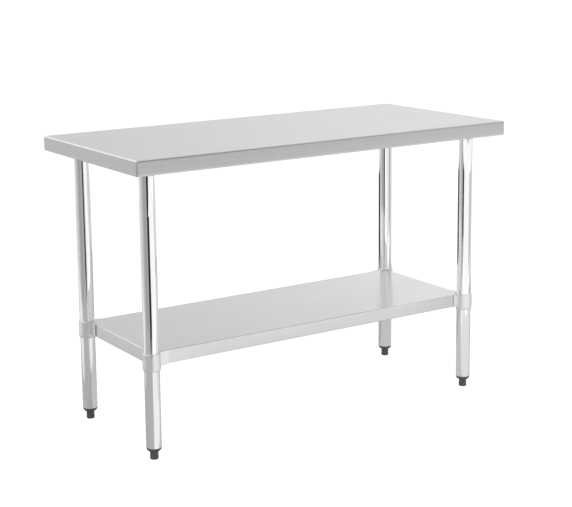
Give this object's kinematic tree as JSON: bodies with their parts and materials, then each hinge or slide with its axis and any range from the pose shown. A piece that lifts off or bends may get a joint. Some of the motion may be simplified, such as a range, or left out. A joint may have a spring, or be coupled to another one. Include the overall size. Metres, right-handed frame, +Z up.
{
  "type": "stainless work table",
  "caption": "Free-standing stainless steel work table: folded-edge flat worktop on round tubular legs, height-adjustable undershelf and screw-adjustable feet.",
  "frame": {"origin": "on the floor, under the middle of the table", "axes": "+X along the table's length to the right, +Y to the back, +Z up"},
  "size_m": [1.321, 0.61, 0.889],
  "materials": {
    "worktop_steel": "brushed along the length, satin",
    "shelf_steel": "semi-gloss brushed sheet",
    "polished_tube": "polished stainless tube",
    "cast_aluminium": "satin die casting",
    "galvanised": "galvanised, dull with faint spangle",
    "damping": "matt black foam rubber",
    "plated_fasteners": "zinc plated",
    "black_screws": "black oxide",
    "foot_plastic": "moulded dark grey plastic",
    "foot_thread": "zinc plated thread"
  },
  "bodies": {
    "table": {"worktop": "worktop_steel", "top_channel_long": "galvanised", "top_channel_left": "galvanised", "top_channel_right": "galvanised", "top_damping_strips": "damping", "channel_studs": "plated_fasteners", "channel_nuts": "plated_fasteners", "leg_socket_fl": "cast_aluminium", "leg_socket_fr": "cast_aluminium", "leg_socket_bl": "cast_aluminium", "leg_socket_br": "cast_aluminium", "socket_bolts": "plated_fasteners", "socket_nuts": "plated_fasteners", "socket_set_screws": "black_screws", "leg_fl": "polished_tube", "leg_fr": "polished_tube", "leg_bl": "polished_tube", "leg_br": "polished_tube", "foot_insert_fl": "foot_plastic", "foot_insert_fr": "foot_plastic", "foot_insert_bl": "foot_plastic", "foot_insert_br": "foot_plastic"},
    "shelf": {"undershelf": "shelf_steel", "shelf_channel": "galvanised", "shelf_damping_strips": "damping", "shelf_studs": "plated_fasteners", "shelf_nuts": "plated_fasteners", "shelf_bracket_fl": "cast_aluminium", "shelf_bracket_fr": "cast_aluminium", "shelf_bracket_bl": "cast_aluminium", "shelf_bracket_br": "cast_aluminium", "bracket_screws": "plated_fasteners", "bracket_set_screws": "black_screws"},
    "foot_lift_fl": {"foot_stud_fl": "foot_thread"},
    "foot_turn_fl": {"foot_nose_fl": "foot_plastic"},
    "foot_lift_fr": {"foot_stud_fr": "foot_thread"},
    "foot_turn_fr": {"foot_nose_fr": "foot_plastic"},
    "foot_lift_bl": {"foot_stud_bl": "foot_thread"},
    "foot_turn_bl": {"foot_nose_bl": "foot_plastic"},
    "foot_lift_br": {"foot_stud_br": "foot_thread"},
    "foot_turn_br": {"foot_nose_br": "foot_plastic"}
  },
  "joints": [
    {"name": "shelf_slide", "type": "slide", "parent": "table", "child": "shelf", "axis": [0, 0, 1], "range_m": [-0.16, 0.34]},
    {"name": "foot_screw_fl", "type": "slide", "parent": "table", "child": "foot_lift_fl", "axis": [0, 0, 1], "range_m": [-0.012, 0.01]},
    {"name": "foot_spin_fl", "type": "hinge", "parent": "foot_lift_fl", "child": "foot_turn_fl", "pos_m": [-0.5805, -0.21, 0], "axis": [0, 0, 1], "range_deg": [-2480, 2070]},
    {"name": "foot_screw_fr", "type": "slide", "parent": "table", "child": "foot_lift_fr", "axis": [0, 0, 1], "range_m": [-0.012, 0.01]},
    {"name": "foot_spin_fr", "type": "hinge", "parent": "foot_lift_fr", "child": "foot_turn_fr", "pos_m": [0.5805, -0.21, 0], "axis": [0, 0, 1], "range_deg": [-2480, 2070]},
    {"name": "foot_screw_bl", "type": "slide", "parent": "table", "child": "foot_lift_bl", "axis": [0, 0, 1], "range_m": [-0.012, 0.01]},
    {"name": "foot_spin_bl", "type": "hinge", "parent": "foot_lift_bl", "child": "foot_turn_bl", "pos_m": [-0.5805, 0.21, 0], "axis": [0, 0, 1], "range_deg": [-2480, 2070]},
    {"name": "foot_screw_br", "type": "slide", "parent": "table", "child": "foot_lift_br", "axis": [0, 0, 1], "range_m": [-0.012, 0.01]},
    {"name": "foot_spin_br", "type": "hinge", "parent": "foot_lift_br", "child": "foot_turn_br", "pos_m": [0.5805, 0.21, 0], "axis": [0, 0, 1], "range_deg": [-2480, 2070]}
  ],
  "couplings": [
    {"joint": "foot_spin_fl", "follows": "foot_screw_fl", "rad_per_m": 3590.4},
    {"joint": "foot_spin_fr", "follows": "foot_screw_fr", "rad_per_m": 3590.4},
    {"joint": "foot_spin_bl", "follows": "foot_screw_bl", "rad_per_m": 3590.4},
    {"joint": "foot_spin_br", "follows": "foot_screw_br", "rad_per_m": 3590.4}
  ]
}
